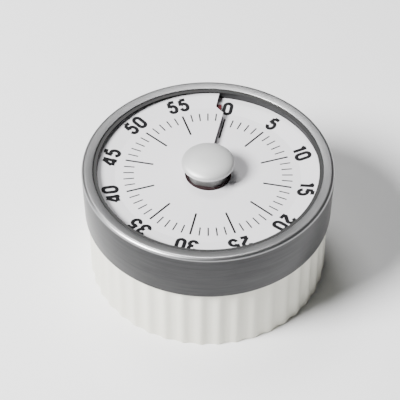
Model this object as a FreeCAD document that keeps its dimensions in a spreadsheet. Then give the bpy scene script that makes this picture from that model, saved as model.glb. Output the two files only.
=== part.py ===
import FreeCAD, Part
import math
import os
import re

import Sketcher
from FreeCAD import Placement, Rotation, Vector

# A 60 minute clockwork kitchen timer: a fluted cup with a steel ring round its top, a spiral dial
# with a slit at zero, a red disc that climbs out of the slit, a knob, and the movement inside.
# Millimetres, degrees. The origin is the centre of the underside, +Z is up, zero on the dial is at +Y,
# and the minutes run clockwise seen from above.

SIZES = {
    # housing
    "cup_radius": 36.7,
    "cup_bore": 34.6,
    "cup_skirt_height": 24.2,
    "cup_collar_radius": 37.0,
    "cup_height": 38.3,
    "flute_depth": 0.5,
    "flutes": 42,
    "seat_bore": 35.3,
    "seat_height": 31.0,
    "cover_thickness": 2.2,
    "cover_radius": 35.15,
    "cover_screw_circle": 32.4,
    "cover_boss_radius": 2.6,
    "cover_boss_height": 11.0,
    "pilot_depth": 7.0,
    "magnet_circle": 20.0,
    "magnet_radius": 6.0,
    "magnet_thickness": 3.0,
    "magnet_floor": 0.8,
    "magnet_wall": 1.2,
    "magnet_wall_height": 2.0,
    # steel ring
    "ring_foot_radius": 37.6,
    "ring_foot_height": 23.2,
    "ring_radius": 38.0,
    "ring_shoulder_height": 39.85,
    "ring_lip_radius": 34.6,
    "ring_lip_height": 39.5,
    "ring_sheet": 0.45,
    "ring_rounding": 1.1,
    # window and dial
    "lens_radius": 35.2,
    "lens_bottom": 38.35,
    "lens_thickness": 0.7,
    "lens_hole": 6.2,
    "wall_bore": 34.2,
    "ledge_bore": 31.3,
    "ledge_thickness": 0.7,
    "dial_radius": 34.1,
    "dial_hole": 7.0,
    "dish_radius": 28.0,
    "dish_height": 0.85,
    "dial_zero_height": 35.4,
    "dial_rise": 1.9,
    "dial_sheet": 0.45,
    "dial_underlap": 8.0,
    "slit_offset": 0.75,
    "slit_offset_outside": 3.5,
    "slit_step_inside": 26.4,
    "slit_step_outside": 28.6,
    "red_radius": 31.0,
    "red_sheet": 0.35,
    "red_gap": 0.6,
    "red_lead_angle": 3.9,
    "carrier_thickness": 2.2,
    "carrier_hub_radius": 5.0,
    "carrier_hub_drop": 1.5,
    "carrier_boss_radius": 3.2,
    # knob and its shaft
    "cap_radius": 7.95,
    "cap_bottom": 40.75,
    "cap_top": 43.4,
    "cap_rounding": 1.1,
    "cap_edge": 0.2,
    "spigot_radius": 4.0,
    "spigot_depth": 1.1,
    "stem_radius": 5.85,
    "stem_bottom": 33.4,
    "stem_flat": 5.2,
    "stem_flat_top": 38.25,
    "hub_radius": 6.58,
    "hub_bottom": 33.5,
    "hub_top": 36.25,
    "slide_clearance": 0.06,
    "shaft_radius": 3.0,
    "shaft_neck_radius": 2.5,
    "shaft_top": 41.6,
    "main_pivot_radius": 1.5,
    "shoulder_radius": 4.5,
    "shoulder_thickness": 0.75,
    "clutch_radius": 7.0,
    "clutch_sheet": 0.3,
    "clutch_rise": 0.55,
    "running_clearance": 0.05,
    # movement frame
    "plate_radius": 33.0,
    "plate_thickness": 1.0,
    "lower_plate": 14.0,
    "upper_plate": 26.0,
    "pillar_circle": 30.5,
    "pillar_radius": 2.0,
    "screw_shank": 0.9,
    "screw_head": 1.9,
    "screw_head_height": 1.2,
    "screw_cross_reach": 1.2,
    "screw_cross_half_width": 0.25,
    "screw_cross_depth": 0.7,
    "cover_screw_tip": 8.2,
    "plate_screw_tip": 20.0,
    "carrier_screw_tip": 22.0,
    "pivot_radius": 0.5,
    "arbor_radius": 0.8,
    # wheels
    "wheel_sheet": 0.8,
    "drive_wheel_height": 23.0,
    "second_wheel_height": 21.2,
    "third_wheel_height": 24.8,
    "escape_wheel_height": 19.0,
    "escape_wheel_radius": 5.0,
    # mainspring and strike work
    "spring_inner_radius": 3.6,
    "spring_strip": 0.3,
    "spring_pitch": 1.3,
    "spring_bottom": 17.0,
    "spring_width": 3.6,
    "cam_radius": 6.0,
    "cam_bottom": 15.4,
    "cam_thickness": 1.0,
    "cam_notch": 1.4,
    "gong_radius": 26.0,
    "gong_bottom": 5.2,
    "gong_sheet": 0.8,
    "gong_height": 12.4,
    "gong_corner": 3.0,
    "gong_corner_inside": 3.3,
    "gong_hole": 1.6,
    "gong_post_radius": 4.0,
    "gong_post_bore": 1.52,
    "gong_screw_radius": 1.5,
    "gong_screw_head": 2.8,
    "gong_screw_head_height": 0.9,
    "gong_screw_length": 7.0,
}

# Tooth counts, modules and positions of the going train: each wheel drives the pinion of the next.
PINION_LEAVES = 8
DRIVE_TEETH, SECOND_TEETH, THIRD_TEETH, ESCAPE_TEETH = 72, 64, 64, 15
DRIVE_MODULE, SECOND_MODULE, THIRD_MODULE = 0.45, 0.35, 0.3
MESH_SLACK = 0.06
THIRD_ARBOR_CIRCLE, ESCAPE_ARBOR_CIRCLE, PALLET_ARBOR_CIRCLE = 19.0, 20.0, 20.5
PALLET_SPAN_TEETH = 3.5
PALLET_PIN_RADIUS, PALLET_CLEARANCE = 0.3, 0.1
PILLAR_ANGLES, COVER_SCREW_ANGLES, TRIP_CAM_ANGLE = 20.0, 80.0, 149.4
PILLAR_SPACING = 120

# Strike work: where the hammer's arbor stands, and how far its head lies round and down from it.
HAMMER_ARBOR_CIRCLE, HAMMER_ARBOR_ANGLE, HAMMER_ARBOR_BOTTOM = 20.0, 215.0, 10.0
HAMMER_HEAD_CIRCLE, HAMMER_HEAD_SWEEP = 22.6, 60.0
HAMMER_HEAD_RADIUS, HAMMER_HEAD_BOTTOM, HAMMER_HEAD_TOP = 1.6, 8.68, 10.18
HAMMER_NECK_RADIUS, HAMMER_ARM_WIDTH, HAMMER_ARM_BOTTOM, HAMMER_ARM_TOP = 0.8, 2.0, 10.2, 11.0
LEVER_TRACK, LEVER_SHEET, FINGER_LENGTH, FINGER_WIDTH = 2.25, 0.8, 2.0, 1.0
LEAF_LENGTH, LEAF_SHEET, LEAF_WIDTH, STUD_RADIUS, STUD_HEIGHT = 3.2, 0.3, 1.5, 0.7, 2.0
STUD_DISTANCE, STUD_SWEEP = 6.0, -115.0

# Small parts of the movement.
PALLET_BAR_WIDTH, PALLET_HUB_RADIUS = 1.6, 1.8
PALLET_WEIGHT_RADIUS, PALLET_WEIGHT_HEIGHT, PALLET_WEIGHT_REACH, PALLET_WEIGHT_SWEEP = 1.7, 1.4, 5.2, 35
RIVET_RADIUS = 0.5
ESCAPE_TOOTH_DEPTH, ESCAPE_SHEET = 1.5, 0.6
FIT = 0.01

doc = FreeCAD.newDocument("kitchen_timer")
sheet = doc.addObject("Spreadsheet::Sheet", "Sizes")
for row, (alias, number) in enumerate(SIZES.items(), 1):
    sheet.set(f"A{row}", alias)
    sheet.set(f"B{row}", str(number))
    sheet.setAlias(f"B{row}", alias)
doc.recompute()
parts = []


def bound(text):
    """The expression with each size written as a reference to the spreadsheet."""
    return re.sub(r"[a-z]\w*", lambda word: f"Sizes.{word[0]}" if word[0] in SIZES else word[0], str(text))


def value(text):
    return float(sheet.evalExpression(bound(text)))


def new_body(label, turn=0.0):
    """An empty body, turned about the main axis."""
    body = doc.addObject("PartDesign::Body", label)
    body.Label = label
    body.Placement = Placement(Vector(0, 0, 0), Rotation(Vector(0, 0, 1), turn))
    parts.append(body)
    return body


def new_sketch(body, role="XZ_Plane", height=None):
    sketch = body.newObject("Sketcher::SketchObject", body.Name + "_sketch")
    plane = next(f for f in body.Origin.OriginFeatures if f.Role == role)
    sketch.AttachmentSupport = [(plane, "")]
    sketch.MapMode = "FlatFace"
    if height:
        sketch.setExpression("AttachmentOffset.Base.z", bound(height))
    return sketch


def pin_point(sketch, geometry, end, x, y):
    """Ties one point of a sketch to its distances from the origin."""
    for axis, text in (("X", x), ("Y", y)):
        index = sketch.addConstraint(
            Sketcher.Constraint("Distance" + axis, -1, 1, geometry, end, value(text))
        )
        sketch.renameConstraint(index, f"point{geometry}_{end}_{axis.lower()}")
        sketch.setExpression(f"Constraints.point{geometry}_{end}_{axis.lower()}", bound(text))


def add_outline(sketch, corners):
    """A closed polygon whose corners are pairs of expressions."""
    spots = [Vector(value(x), value(y), 0) for x, y in corners]
    first = sketch.GeometryCount
    for k, spot in enumerate(spots):
        sketch.addGeometry(Part.LineSegment(spot, spots[(k + 1) % len(spots)]), False)
    for k in range(len(spots)):
        following = first + (k + 1) % len(spots)
        sketch.addConstraint(Sketcher.Constraint("Coincident", first + k, 2, following, 1))
    for k, (x, y) in enumerate(corners):
        pin_point(sketch, first + k, 1, x, y)
    return sketch


def add_circle(sketch, x, y, radius):
    circle = sketch.addGeometry(
        Part.Circle(Vector(value(x), value(y), 0), Vector(0, 0, 1), value(radius)), False
    )
    pin_point(sketch, circle, 3, x, y)
    index = sketch.addConstraint(Sketcher.Constraint("Radius", circle, value(radius)))
    sketch.renameConstraint(index, f"radius{circle}")
    sketch.setExpression(f"Constraints.radius{circle}", bound(radius))
    return sketch


def add_box(sketch, x_low, x_high, y_low, y_high):
    return add_outline(sketch, [(x_low, y_low), (x_high, y_low), (x_high, y_high), (x_low, y_high)])


def revolve(body, section, off_axis=None):
    """Turns a section (radius, height) about the main axis, or about a line that stands off it."""
    sketch = new_sketch(body)
    add_outline(sketch, section)
    axis = "V_Axis"
    if off_axis:
        distance = value(off_axis)
        line = sketch.addGeometry(Part.LineSegment(Vector(distance, -5, 0), Vector(distance, 5, 0)), True)
        pin_point(sketch, line, 1, off_axis, "-5")
        pin_point(sketch, line, 2, off_axis, "5")
        axis = "Axis0"
    feature = body.newObject("PartDesign::Revolution", body.Name + "_turning")
    feature.Profile = sketch
    feature.ReferenceAxis = (sketch, [axis])
    feature.Angle = 360
    return feature


def pad(body, sketch, length, downwards=False):
    feature = body.newObject("PartDesign::Pad", body.Name + "_pad")
    feature.Profile = sketch
    feature.setExpression("Length", bound(length))
    feature.Reversed = downwards
    return feature


def cut(body, sketch, depth, downwards=True):
    """Cuts a sketch into the body; downwards means along -Z."""
    feature = body.newObject("PartDesign::Pocket", body.Name + "_cut")
    feature.Profile = sketch
    feature.setExpression("Length", bound(depth))
    feature.Reversed = not downwards
    return feature


def repeat(body, features, count):
    """Repeats features evenly round the body's main axis."""
    pattern = body.newObject("PartDesign::PolarPattern", body.Name + "_pattern")
    pattern.Originals = features
    z_axis = next(f for f in body.Origin.OriginFeatures if f.Role == "Z_Axis")
    pattern.Axis = (z_axis, [""])
    pattern.Angle = 360
    pattern.setExpression("Occurrences", bound(count))
    body.Tip = pattern
    return pattern


def round_circle(body, size, radius, height):
    """Rounds the circular edge that has this radius and lies at this height."""
    doc.recompute()
    tip = body.Tip
    names = []
    for k, edge in enumerate(tip.Shape.Edges, 1):
        if not isinstance(edge.Curve, Part.Circle):
            continue
        if abs(edge.Curve.Radius - value(radius)) + abs(edge.Curve.Center.z - value(height)) < 0.01:
            names.append(f"Edge{k}")
    feature = body.newObject("PartDesign::Fillet", body.Name + "_rounding")
    feature.Base = (tip, names)
    feature.setExpression("Radius", bound(size))
    body.Tip = feature


def turned(label, section, turn=0.0):
    body = new_body(label, turn)
    revolve(body, section)
    return body


def ring_section(inner, outer, low, high):
    return [(inner, low), (outer, low), (outer, high), (inner, high)]


def solid_part(label, shape):
    """A piece whose outline is worked out tooth by tooth, or turn by turn."""
    piece = doc.addObject("Part::Feature", label)
    piece.Label = label
    piece.Shape = shape
    parts.append(piece)
    return piece


def polar(radius, degrees):
    angle = math.radians(degrees)
    return Vector(radius * math.cos(angle), radius * math.sin(angle), 0)


# ---------------------------------------------------------------- housing

FIRST_COVER_SCREW = [f"cover_screw_circle * {trig}({COVER_SCREW_ANGLES}deg)" for trig in ("cos", "sin")]


def make_base_cup():
    cup = new_body("base_cup")
    revolve(
        cup,
        [
            ("cover_radius + 0.05", "0"),
            ("cup_radius + 0.15", "0"),
            ("cup_radius + 0.15", "cup_skirt_height"),
            ("cup_collar_radius", "cup_skirt_height"),
            ("cup_collar_radius", "cup_height"),
            ("seat_bore", "cup_height"),
            ("seat_bore", "seat_height"),
            ("cup_bore", "seat_height"),
            ("cup_bore", "cover_thickness"),
            ("cover_radius + 0.05", "cover_thickness"),
        ],
    )
    # One concave flute: its circle meets its neighbours in sharp ridges at the cup's radius.
    chord = "(2 * cup_radius * sin(180deg / flutes))"
    flute_radius = f"({chord} * {chord} / 8 / flute_depth + flute_depth / 2)"
    flute = new_sketch(cup, "XY_Plane", "cup_skirt_height")
    add_circle(flute, f"cup_radius - flute_depth + {flute_radius}", "0", flute_radius)
    repeat(cup, [cut(cup, flute, "cup_skirt_height + 1")], "flutes")
    boss = new_sketch(cup, "XY_Plane", "cover_thickness")
    add_circle(boss, *FIRST_COVER_SCREW, "cover_boss_radius")
    post = pad(cup, boss, "cover_boss_height - cover_thickness")
    pilot = new_sketch(cup, "XY_Plane", "cover_thickness")
    add_circle(pilot, *FIRST_COVER_SCREW, "screw_shank")
    repeat(cup, [post, cut(cup, pilot, "pilot_depth", downwards=False)], 3)


def make_bottom_cover():
    cover = new_body("bottom_cover")
    revolve(cover, ring_section("0", "cover_radius", "0", "cover_thickness"))
    cup = new_sketch(cover, "XY_Plane", "cover_thickness")
    add_circle(cup, "magnet_circle", "0", "magnet_radius + magnet_wall")
    wall = pad(cover, cup, "magnet_wall_height")
    pocket = new_sketch(cover, "XY_Plane", "cover_thickness + magnet_wall_height")
    add_circle(pocket, "magnet_circle", "0", "magnet_radius + running_clearance")
    hollow = cut(cover, pocket, "cover_thickness + magnet_wall_height - magnet_floor")
    repeat(cover, [wall, hollow], 3)
    hole = new_sketch(cover, "XY_Plane")
    add_circle(hole, *FIRST_COVER_SCREW, "screw_shank + 0.3")
    through = cut(cover, hole, "cover_thickness", downwards=False)
    head = new_sketch(cover, "XY_Plane")
    add_circle(head, *FIRST_COVER_SCREW, "screw_head + 0.2")
    repeat(cover, [through, cut(cover, head, "screw_head_height + 0.1", downwards=False)], 3)


def screw_group(label, circle, start, head_low, head_up, tip):
    """Three cross-head screws round the main axis; the head's flat face looks away from the tip."""
    body = new_body(label, start)
    face, neck = (head_low, head_up) if value(tip) > value(head_up) else (head_up, head_low)
    thread = revolve(
        body,
        [
            (circle, face),
            (f"{circle} + screw_head", face),
            (f"{circle} + screw_head", neck),
            (f"{circle} + screw_shank", neck),
            (f"{circle} + screw_shank", tip),
            (circle, tip),
        ],
        off_axis=circle,
    )
    features = [thread]
    arm, half = "screw_cross_reach", "screw_cross_half_width"
    for reach_x, reach_y in ((arm, half), (half, arm)):
        slot = new_sketch(body, "XY_Plane", face)
        add_box(slot, f"{circle} - {reach_x}", f"{circle} + {reach_x}", f"-{reach_y}", reach_y)
        features.append(cut(body, slot, "screw_cross_depth", downwards=value(tip) < value(face)))
    repeat(body, features, 3)


def make_magnets():
    body = new_body("magnets")
    revolve(
        body,
        [
            ("magnet_circle", "magnet_floor + 0.02"),
            ("magnet_circle + magnet_radius", "magnet_floor + 0.02"),
            ("magnet_circle + magnet_radius", "magnet_floor + magnet_thickness"),
            ("magnet_circle", "magnet_floor + magnet_thickness"),
        ],
        off_axis="magnet_circle",
    )
    repeat(body, [body.Tip], 3)


def make_steel_ring():
    """Deep-drawn sheet: a skirt, a rounded shoulder and a top band that slopes in to the lip."""
    ring = turned(
        "steel_ring",
        [
            ("ring_foot_radius - ring_sheet", "ring_foot_height"),
            ("ring_foot_radius", "ring_foot_height"),
            ("ring_radius", "ring_shoulder_height"),
            ("ring_lip_radius", "ring_lip_height"),
            ("ring_lip_radius", "ring_lip_height - ring_sheet"),
            ("ring_radius - ring_sheet", "ring_shoulder_height - ring_sheet"),
        ],
    )
    round_circle(ring, "ring_rounding", "ring_radius", "ring_shoulder_height")
    inside = ("ring_radius - ring_sheet", "ring_shoulder_height - ring_sheet")
    round_circle(ring, "ring_rounding - ring_sheet", *inside)


# ---------------------------------------------------------------- window, dial and red disc


def spiral_sheet(body, corners, span):
    """A strip with this section that climbs by dial_rise in each clockwise turn about the main axis."""
    section = new_sketch(body, "YZ_Plane")
    add_outline(section, corners)
    sheet_feature = body.newObject("PartDesign::AdditiveHelix", body.Name + "_spiral")
    sheet_feature.Profile = section
    sheet_feature.ReferenceAxis = (section, ["V_Axis"])
    sheet_feature.Mode = 0
    sheet_feature.setExpression("Pitch", bound("dial_rise"))
    sheet_feature.setExpression("Height", bound(f"dial_rise * ({span}) / 360"))
    sheet_feature.LeftHanded = True
    return sheet_feature


def make_dial():
    dial = new_body("dial", turn=SIZES["dial_underlap"])
    low = "dial_zero_height - dial_sheet - dial_rise * dial_underlap / 360"
    # flat in the middle, and dished upwards under the numerals
    section = [
        ("dial_hole", low),
        ("dish_radius", low),
        ("dial_radius", f"{low} + dish_height"),
        ("dial_radius", f"{low} + dish_height + dial_sheet"),
        ("dish_radius", f"{low} + dial_sheet"),
        ("dial_hole", f"{low} + dial_sheet"),
    ]
    spiral_sheet(dial, section, "360 + dial_underlap")
    # The raised end stops short of the zero line, and steps back to leave room for the numeral.
    notch = new_sketch(dial, "XY_Plane", "dial_zero_height + dial_rise + dish_height")
    notch.setExpression("AttachmentOffset.Rotation.Angle", bound("-dial_underlap"))
    add_outline(
        notch,
        [
            ("-slit_offset", "dial_hole - 2"),
            ("-slit_offset", "slit_step_inside"),
            ("-slit_offset_outside", "slit_step_outside"),
            ("-slit_offset_outside", "dial_radius + 1"),
            ("3", "dial_radius + 1"),
            ("3", "dial_hole - 2"),
        ],
    )
    cut(dial, notch, "dish_height + dial_sheet + 0.4")


def make_dial_ring():
    """The black ring round the dial: a wall up to the window and a spiral ledge under the dial's edge."""
    ring = new_body("dial_ring", turn=SIZES["dial_underlap"])
    seat = "seat_height + carrier_thickness"
    revolve(ring, ring_section("wall_bore", "lens_radius", seat, "lens_bottom - 0.02"))
    dish = "dish_height * (ledge_bore - dish_radius) / (dial_radius - dish_radius)"
    top = f"dial_zero_height - dial_sheet - 0.02 - dial_rise * dial_underlap / 360 + {dish}"
    spiral_sheet(ring, ring_section("ledge_bore", "wall_bore + 0.4", f"{top} - ledge_thickness", top), "360")


def make_lens():
    turned(
        "lens",
        ring_section("lens_hole", "lens_radius", "lens_bottom", "lens_bottom + lens_thickness"),
    )


def make_red_disc():
    disc = new_body("red_disc", turn=SIZES["dial_underlap"])
    low = "dial_zero_height - dial_sheet - red_gap - red_sheet - dial_rise * dial_underlap / 360"
    span = "360 + dial_underlap - red_lead_angle"
    spiral_sheet(disc, ring_section("hub_radius + 0.02", "red_radius", low, f"{low} + red_sheet"), span)


def flatted(sketch, radius, flat):
    """A round with two flats across x: two arcs joined by two straight lines."""
    r, y = value(radius), value(flat)
    x = math.sqrt(r * r - y * y)
    centre = Vector(0, 0, 0)
    up = Vector(0, 0, 1)
    top, low = math.atan2(y, x), math.atan2(-y, x)
    right = Part.ArcOfCircle(Part.Circle(centre, up, r), low, top)
    left = Part.ArcOfCircle(Part.Circle(centre, up, r), math.pi - top, math.pi - low)
    sketch.addGeometry(right, False)
    sketch.addGeometry(Part.LineSegment(Vector(x, y, 0), Vector(-x, y, 0)), False)
    sketch.addGeometry(left, False)
    sketch.addGeometry(Part.LineSegment(Vector(-x, -y, 0), Vector(x, -y, 0)), False)
    for this, end, other, start in ((0, 2, 1, 1), (1, 2, 2, 1), (2, 2, 3, 1), (3, 2, 0, 1)):
        sketch.addConstraint(Sketcher.Constraint("Coincident", this, end, other, start))
    for arc in (0, 2):
        pin_point(sketch, arc, 3, "0", "0")
        index = sketch.addConstraint(Sketcher.Constraint("Radius", arc, r))
        sketch.renameConstraint(index, f"round{arc}")
        sketch.setExpression(f"Constraints.round{arc}", bound(radius))
    for line, end, text in ((1, 1, flat), (1, 2, flat), (3, 1, f"-({flat})"), (3, 2, f"-({flat})")):
        index = sketch.addConstraint(Sketcher.Constraint("DistanceY", -1, 1, line, end, value(text)))
        sketch.renameConstraint(index, f"flat{line}_{end}")
        sketch.setExpression(f"Constraints.flat{line}_{end}", bound(text))


def make_red_disc_hub():
    """The sleeve that carries the red disc up and down the stem, kept from turning on it by flats."""
    hub = new_body("red_disc_hub")
    revolve(hub, ring_section("0", "hub_radius", "hub_bottom", "hub_top"))
    bore = new_sketch(hub, "XY_Plane", "hub_top")
    flatted(bore, "stem_radius + slide_clearance", "stem_flat + slide_clearance")
    cut(hub, bore, "hub_top - hub_bottom")


# ---------------------------------------------------------------- knob and its shaft


def make_knob():
    cap = turned(
        "knob_cap",
        [
            ("0", "cap_bottom + spigot_depth"),
            ("spigot_radius", "cap_bottom + spigot_depth"),
            ("spigot_radius", "cap_bottom"),
            ("cap_radius", "cap_bottom"),
            ("cap_radius", "cap_top"),
            ("0", "cap_top"),
        ],
    )
    round_circle(cap, "cap_rounding", "cap_radius", "cap_top")
    round_circle(cap, "cap_edge", "cap_radius", "cap_bottom")
    stem = turned(
        "knob_stem",
        [
            ("shaft_neck_radius", "stem_bottom"),
            ("stem_radius", "stem_bottom"),
            ("stem_radius", "cap_bottom"),
            ("spigot_radius - 0.02", "cap_bottom"),
            ("spigot_radius - 0.02", "cap_bottom + spigot_depth - 0.02"),
            ("shaft_neck_radius", "cap_bottom + spigot_depth - 0.02"),
        ],
    )
    for side in ("", "-"):
        flat = new_sketch(stem, "XY_Plane", "stem_flat_top")
        far = "stem_flat" if not side else "-stem_radius - 1"
        near = "stem_radius + 1" if not side else "-stem_flat"
        add_box(flat, "-stem_radius", "stem_radius", far, near)
        cut(stem, flat, "stem_flat_top - stem_bottom + 0.5")


def make_main_shaft():
    turned(
        "main_shaft",
        [
            ("0", "lower_plate"),
            ("main_pivot_radius", "lower_plate"),
            ("main_pivot_radius", "lower_plate + plate_thickness + 0.1"),
            ("shaft_radius", "lower_plate + plate_thickness + 0.1"),
            ("shaft_radius", "drive_wheel_height - running_clearance - shoulder_thickness"),
            ("shoulder_radius", "drive_wheel_height - running_clearance - shoulder_thickness"),
            ("shoulder_radius", "drive_wheel_height - running_clearance"),
            ("shaft_radius", "drive_wheel_height - running_clearance"),
            ("shaft_radius", "upper_plate + plate_thickness + 0.5"),
            ("shaft_neck_radius - 0.01", "upper_plate + plate_thickness + 0.9"),
            ("shaft_neck_radius - 0.01", "shaft_top"),
            ("0", "shaft_top"),
        ],
    )


def make_trip_cam():
    """A disc with one notch; at zero the trip lever can drop into it."""
    cam = new_body("trip_cam", turn=TRIP_CAM_ANGLE)
    top = "cam_bottom + cam_thickness"
    revolve(cam, ring_section("shaft_radius + 0.01", "cam_radius", "cam_bottom", top))
    notch = new_sketch(cam, "XY_Plane", top)
    add_box(notch, "cam_radius - cam_notch", "cam_radius + 1", "-cam_notch", "cam_notch")
    cut(cam, notch, "cam_thickness")


def make_clutch():
    """A three-armed spring washer presses the drive wheel against the shaft's shoulder."""
    low = "drive_wheel_height + wheel_sheet + running_clearance"
    spring = turned(
        "clutch_spring",
        [
            ("shaft_radius + 0.01", f"{low} + clutch_rise"),
            ("clutch_radius", low),
            ("clutch_radius", f"{low} + clutch_sheet"),
            ("shaft_radius + 0.01", f"{low} + clutch_rise + clutch_sheet"),
        ],
    )
    gap = new_sketch(spring, "XY_Plane", "upper_plate")
    inside, outside = "shoulder_radius", "clutch_radius + 0.5"
    add_outline(gap, [(inside, "-1.2"), (outside, "-3.2"), (outside, "3.2"), (inside, "1.2")])
    repeat(spring, [cut(spring, gap, "3")], 3)
    turned(
        "clutch_collar",
        ring_section(
            "shaft_radius + 0.01",
            "shoulder_radius",
            f"{low} + clutch_rise + clutch_sheet + 0.02",
            "upper_plate - 0.1",
        ),
    )


# ---------------------------------------------------------------- wheels and pinions


def tooth_outline(teeth, module, thinning, addendum=0.8, dedendum=1.05, pressure=30.0):
    """A spur gear's outline: root arc, involute flank, tip arc, involute flank, for each tooth."""
    pitch_radius = teeth * module / 2
    base = pitch_radius * math.cos(math.radians(pressure))
    root = pitch_radius - dedendum * module
    tip = pitch_radius + addendum * module

    def involute(radius):
        angle = math.acos(min(1.0, base / radius))
        return math.tan(angle) - angle

    half_tooth = math.pi / 2 / teeth - thinning / 2 / pitch_radius
    start = max(base, root + 0.02 * module)
    levels = [start + (tip - start) * k / 3 for k in range(4)]
    offsets = [half_tooth + involute(pitch_radius) - involute(r) for r in levels]

    def spot(radius, angle):
        return Vector(radius * math.cos(angle), radius * math.sin(angle), 0)

    edges = []
    step = 2 * math.pi / teeth
    for k in range(teeth):
        middle = k * step
        rising = [spot(r, middle - a) for r, a in zip(levels, offsets)]
        falling = [spot(r, middle + a) for r, a in zip(levels[::-1], offsets[::-1])]
        foot_in, foot_out = spot(root, middle - offsets[0]), spot(root, middle + offsets[0])
        next_foot = spot(root, middle + step - offsets[0])
        for side, points in ((foot_in, rising), (foot_out, falling)):
            flank = Part.BSplineCurve()
            flank.interpolate(points)
            edges.append(flank.toShape())
        edges.append(Part.LineSegment(foot_in, rising[0]).toShape())
        edges.append(Part.Arc(rising[-1], spot(tip, middle), falling[0]).toShape())
        edges.append(Part.LineSegment(falling[-1], foot_out).toShape())
        edges.append(Part.Arc(foot_out, spot(root, middle + step / 2), next_foot).toShape())
    return Part.Wire(Part.__sortEdges__(edges))


def circle_wire(radius, centre=Vector(0, 0, 0)):
    return Part.Wire(Part.Circle(centre, Vector(0, 0, 1), radius).toShape())


def window_wire(inner, outer, half_angle, middle):
    """One opening between the spokes of a wheel, all angles in degrees."""
    low, high = middle - half_angle, middle + half_angle
    # the spokes have parallel sides, so the opening is narrower in angle near the hub
    narrow = half_angle - math.degrees(math.asin(0.5 / inner)) / 2
    inside = [polar(inner, middle - narrow), polar(inner, middle), polar(inner, middle + narrow)]
    outside = [polar(outer, high), polar(outer, middle), polar(outer, low)]
    return Part.Wire(
        [
            Part.Arc(*inside).toShape(),
            Part.LineSegment(inside[2], outside[0]).toShape(),
            Part.Arc(*outside).toShape(),
            Part.LineSegment(outside[2], inside[0]).toShape(),
        ]
    )


def slab(wires, low, high):
    """The area inside the first wire and outside the others, thickened from one height to another."""
    face = Part.Face(wires[0])
    for hole in wires[1:]:
        face = face.cut(Part.Face(hole))
    shape = face.extrude(Vector(0, 0, high - low))
    shape.translate(Vector(0, 0, low))
    return shape


def placed(shape, centre, degrees=0.0):
    shape.rotate(Vector(0, 0, 0), Vector(0, 0, 1), degrees)
    shape.translate(centre)
    return shape


def toothed_wheel(teeth, module, bore, low, spokes=4):
    rim = teeth * module / 2 - 2.6 * module
    windows = [
        window_wire(bore + 1.6, rim - 0.6, 90 * 4 / spokes / 2 - 9, k * 360 / spokes) for k in range(spokes)
    ]
    outline = tooth_outline(teeth, module, MESH_SLACK / 2)
    return slab([outline, circle_wire(bore), *windows], low, low + SIZES["wheel_sheet"])


def arbor_shape(low, high):
    """A shaft between the plates, with a thin pivot in each."""
    pivot, radius, sheet_metal = SIZES["pivot_radius"], SIZES["arbor_radius"], SIZES["plate_thickness"]
    gap = 0.1
    pivots = Part.makeCylinder(pivot, high - low + 1.6 * sheet_metal, Vector(0, 0, low - 0.8 * sheet_metal))
    return pivots.fuse(Part.makeCylinder(radius, high - low - 2 * gap, Vector(0, 0, low + gap)))


def pinion_arbor(module, low, high, bottom, top):
    """An arbor with its pinion leaves cut in one piece."""
    leaves = slab([tooth_outline(PINION_LEAVES, module, MESH_SLACK / 2)], low, high)
    return arbor_shape(bottom, top).fuse(leaves).removeSplitter()


def angle_between(circle_a, circle_b, distance):
    """Angle at the main axis between two arbors that stand this far apart."""
    cosine = (circle_a**2 + circle_b**2 - distance**2) / 2 / circle_a / circle_b
    return math.degrees(math.acos(cosine))


def bearing(a, b):
    return math.degrees(math.atan2(b.y - a.y, b.x - a.x))


def centre_distance(wheel_teeth, module):
    return (wheel_teeth + PINION_LEAVES) * module / 2 + MESH_SLACK


SECOND_CIRCLE = centre_distance(DRIVE_TEETH, DRIVE_MODULE)
THIRD_ANGLE = angle_between(SECOND_CIRCLE, THIRD_ARBOR_CIRCLE, centre_distance(SECOND_TEETH, SECOND_MODULE))
ESCAPE_ANGLE = THIRD_ANGLE + angle_between(
    THIRD_ARBOR_CIRCLE, ESCAPE_ARBOR_CIRCLE, centre_distance(THIRD_TEETH, THIRD_MODULE)
)
PALLET_REACH = SIZES["escape_wheel_radius"] / math.cos(math.radians(PALLET_SPAN_TEETH * 180 / ESCAPE_TEETH))
PALLET_ANGLE = ESCAPE_ANGLE + angle_between(ESCAPE_ARBOR_CIRCLE, PALLET_ARBOR_CIRCLE, PALLET_REACH)
MAIN = Vector(0, 0, 0)
SECOND = polar(SECOND_CIRCLE, 0)
THIRD = polar(THIRD_ARBOR_CIRCLE, THIRD_ANGLE)
ESCAPE = polar(ESCAPE_ARBOR_CIRCLE, ESCAPE_ANGLE)
PALLET = polar(PALLET_ARBOR_CIRCLE, PALLET_ANGLE)
HAMMER = polar(HAMMER_ARBOR_CIRCLE, HAMMER_ARBOR_ANGLE)


def gap_towards(driver, driven):
    """How far to turn a pinion so that a gap between two leaves faces the wheel's tooth."""
    return bearing(driven, driver) + 180 / PINION_LEAVES


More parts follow.
